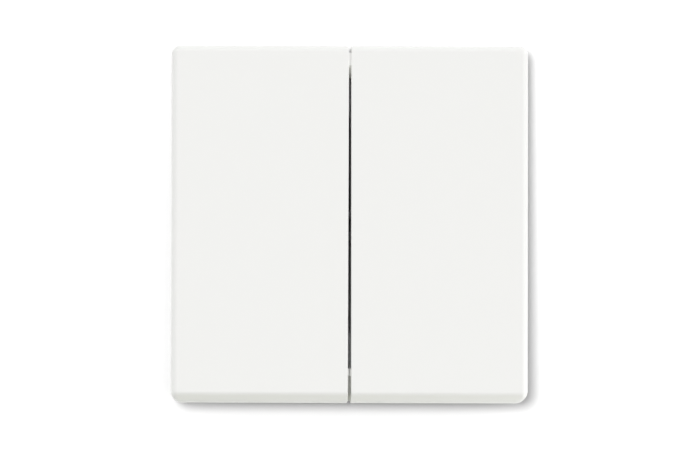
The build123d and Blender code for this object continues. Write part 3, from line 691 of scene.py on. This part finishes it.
def pointed_blank(radius, start, shoulder, tip, point):
    """Round bar about z that tapers from a shoulder to a point."""
    blank = round_bar(radius, start, shoulder)
    select_end(blank, 1)
    bpy.ops.mesh.extrude_region_move(TRANSFORM_OT_translate={"value": (0, 0, tip - shoulder)})
    narrow = point / radius
    bpy.ops.transform.resize(value=(narrow, narrow, 1), center_override=(0, 0, tip))
    bpy.ops.object.mode_set(mode="OBJECT")
    return blank


print("helpers: round_bar, pointed_blank")

# %% [markdown]
# The whole screw
# The head is a bar with a rounded rim and a slot for the driver. The sizes of the shank and the
# head are those of the solids, so the finished screws go exactly where the plain ones were.

# %% Model a screw
HEAD_ROUND = 0.25 * MM
HEAD_ROUND_STEPS = 4
SLOT_WIDTH = 0.6 * MM
SLOT_DEPTH = 0.7 * MM
SLOT_REACH = 3
BLANK_ROOM = 0.05 * MM
HEAD_OVERLAP = 0.4 * MM
SMOOTH_BELOW = math.radians(35)


def slotted_head(radius, height):
    """Head under z = 0 whose slot opens downwards."""
    head = round_bar(radius, -height, 0)
    select_end(head, -1)
    bpy.ops.mesh.bevel(offset=HEAD_ROUND, segments=HEAD_ROUND_STEPS, affect="EDGES")
    bpy.ops.object.mode_set(mode="OBJECT")
    bpy.ops.object.select_all(action="DESELECT")
    bpy.ops.mesh.primitive_cube_add(size=1, location=(0, 0, -height))
    slot = bpy.context.object
    slot.scale = (SLOT_REACH * radius, SLOT_WIDTH, 2 * SLOT_DEPTH)
    bpy.ops.object.transform_apply(location=True, rotation=True, scale=True)
    shape_by(head, slot, "DIFFERENCE")
    return head


def model_screw(head_size, shank_r, root_r, pitch, tip, point_size):
    """Screw about z with its seat at z = 0, its head below and its point above."""
    point_r, point_length = point_size
    thread = wound_thread(shank_r, root_r, pitch, -HEAD_OVERLAP, tip + pitch)
    blank = pointed_blank(
        shank_r + BLANK_ROOM, -2 * HEAD_OVERLAP, tip - point_length, tip, point_r
    )
    shape_by(thread, blank, "INTERSECT")
    screw = slotted_head(*head_size)
    shape_by(screw, thread, "UNION")
    pick(screw)
    bpy.ops.object.mode_set(mode="EDIT")
    bpy.ops.mesh.select_all(action="SELECT")
    bpy.ops.mesh.remove_doubles(threshold=TINY)
    bpy.ops.mesh.dissolve_degenerate(threshold=TINY)
    bpy.ops.mesh.quads_convert_to_tris()
    bpy.ops.object.mode_set(mode="OBJECT")
    bpy.ops.object.shade_smooth_by_angle(angle=SMOOTH_BELOW)
    return screw


print("helpers: slotted_head, model_screw")

# %% [markdown]
# The assembly screws
# Four short screws hold the cover, the ring and the base together. One is modelled and copied
# to the four corners of the cover. Each copy has its own mesh and the four are then joined,
# because they stand for one group of solids.

# %% Helpers to place a screw


def place_screw(model, name, place):
    """Copy of a screw with its own mesh, turned to face the front and moved to its seat."""
    pick(model)
    bpy.ops.object.duplicate(linked=False)
    screw = bpy.context.object
    screw.name = name
    screw.rotation_euler = (-math.pi / 2, 0, 0)
    screw.location = place
    bpy.ops.object.transform_apply(location=True, rotation=True, scale=True)
    return screw


def dress_screw(screw, body, node):
    """Give a screw its finish and let it stand for its solid."""
    screw.data.materials.clear()
    screw.data.materials.append(finishes["screw_steel"])
    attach(screw, body)
    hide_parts(node)
    print(screw.name, "triangles:", sum(len(face.vertices) - 2 for face in screw.data.polygons))


print("helpers: place_screw, dress_screw")

# %% Make the assembly screws
SHORT_HEAD = (1.9 * MM, 1.5 * MM)
SHORT_SHANK_R = 1.0 * MM
SHORT_ROOT_R = 0.7 * MM
SHORT_PITCH = 0.8 * MM
SHORT_POINT = (0.45 * MM, 0.8 * MM)

low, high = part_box("assembly_screws")
seat = low.y + SHORT_HEAD[1]
short_screw = model_screw(
    SHORT_HEAD, SHORT_SHANK_R, SHORT_ROOT_R, SHORT_PITCH, high.y - seat, SHORT_POINT
)
short_screws = []
for x in (low.x + SHORT_HEAD[0], high.x - SHORT_HEAD[0]):
    for z in (low.z + SHORT_HEAD[0], high.z - SHORT_HEAD[0]):
        short_screws.append(place_screw(short_screw, "assembly_screws_threaded", (x, seat, z)))
pick(short_screw)
bpy.ops.object.delete()
for screw in short_screws:
    screw.select_set(True)
bpy.context.view_layer.objects.active = short_screws[0]
bpy.ops.object.join()
dress_screw(short_screws[0], "insert", "assembly_screws")

# %% [markdown]
# The claw screws
# A claw screw pushes its claw out against the side of the wall box. The two sides are alike,
# so one screw is modelled and copied to each. A copy keeps the turn of the thread, where
# a mirror would make it left-handed.

# %% Make the claw screws
CLAW_HEAD = (2.5 * MM, 1.8 * MM)
CLAW_SHANK_R = 1.5 * MM
CLAW_ROOT_R = 1.2 * MM
CLAW_PITCH = 0.5 * MM
CLAW_POINT = (0.5 * MM, 1.0 * MM)

low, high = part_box("claw_screw_left")
seat = low.y + CLAW_HEAD[1]
claw_screw = model_screw(CLAW_HEAD, CLAW_SHANK_R, CLAW_ROOT_R, CLAW_PITCH, high.y - seat, CLAW_POINT)
for side in ("left", "right"):
    node = "claw_screw_" + side
    low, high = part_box(node)
    middle_x = (low.x + high.x) / 2
    screw = place_screw(claw_screw, node + "_threaded", (middle_x, seat, 0))
    dress_screw(screw, node, node)
pick(claw_screw)
bpy.ops.object.delete()

# %% [markdown]
# Copies of the springs
# Two kinds of spring change their shape in use. A toggle spring shortens when its plunger is
# pushed in, and the leaf of a terminal is pushed aside by its release button. Each solid rides
# on one body, so the moving piece would cut through it. Here each spring's solid is copied as a
# piece of its own, with its loose triangles merged and its faces smoothed, and the solid is hidden.
# A copy serves better than a new model here, because the solid already has the true form, and
# its many small faces would bend smoothly.

# %% Copy a spring


def spring_copy(node):
    """Copy of a spring's solid as a piece of its own, with its loose triangles merged."""
    spring = bpy.data.objects.new(node + "_giving", nodes[node].data.copy())
    bpy.context.scene.collection.objects.link(spring)
    pick(spring)
    bpy.ops.object.mode_set(mode="EDIT")
    bpy.ops.mesh.select_all(action="SELECT")
    bpy.ops.mesh.remove_doubles(threshold=TINY)
    bpy.ops.object.mode_set(mode="OBJECT")
    bpy.ops.object.shade_smooth_by_angle(angle=SMOOTH_BELOW)
    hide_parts(node)
    return spring


print("helper: spring_copy")

# %% [markdown]
# The toggle springs
# A coil spring in each lever pushes the plunger onto the contact bridge. It works along the
# line that the plunger slides on. Each one is copied, and its placement is baked into its mesh.

# %% Copy the toggle springs
for joint in frame["joints"]:
    if not joint["name"].startswith("plunger"):
        continue
    spring = spring_copy(joint["child"].replace("plunger", "toggle_spring"))
    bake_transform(spring)

# %% [markdown]
# The leaf springs
# A leaf clamps the wire in each terminal. Its foot stays in the base, and its free part goes
# with the release button. Only a short stretch beside the foot bends. Each one is copied, and
# its placement is baked into its mesh.

for joint in frame["joints"]:
    if not joint["name"].startswith("release"):
        continue
    spring = spring_copy(joint["child"].replace("release_button", "clamp_spring"))
    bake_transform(spring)
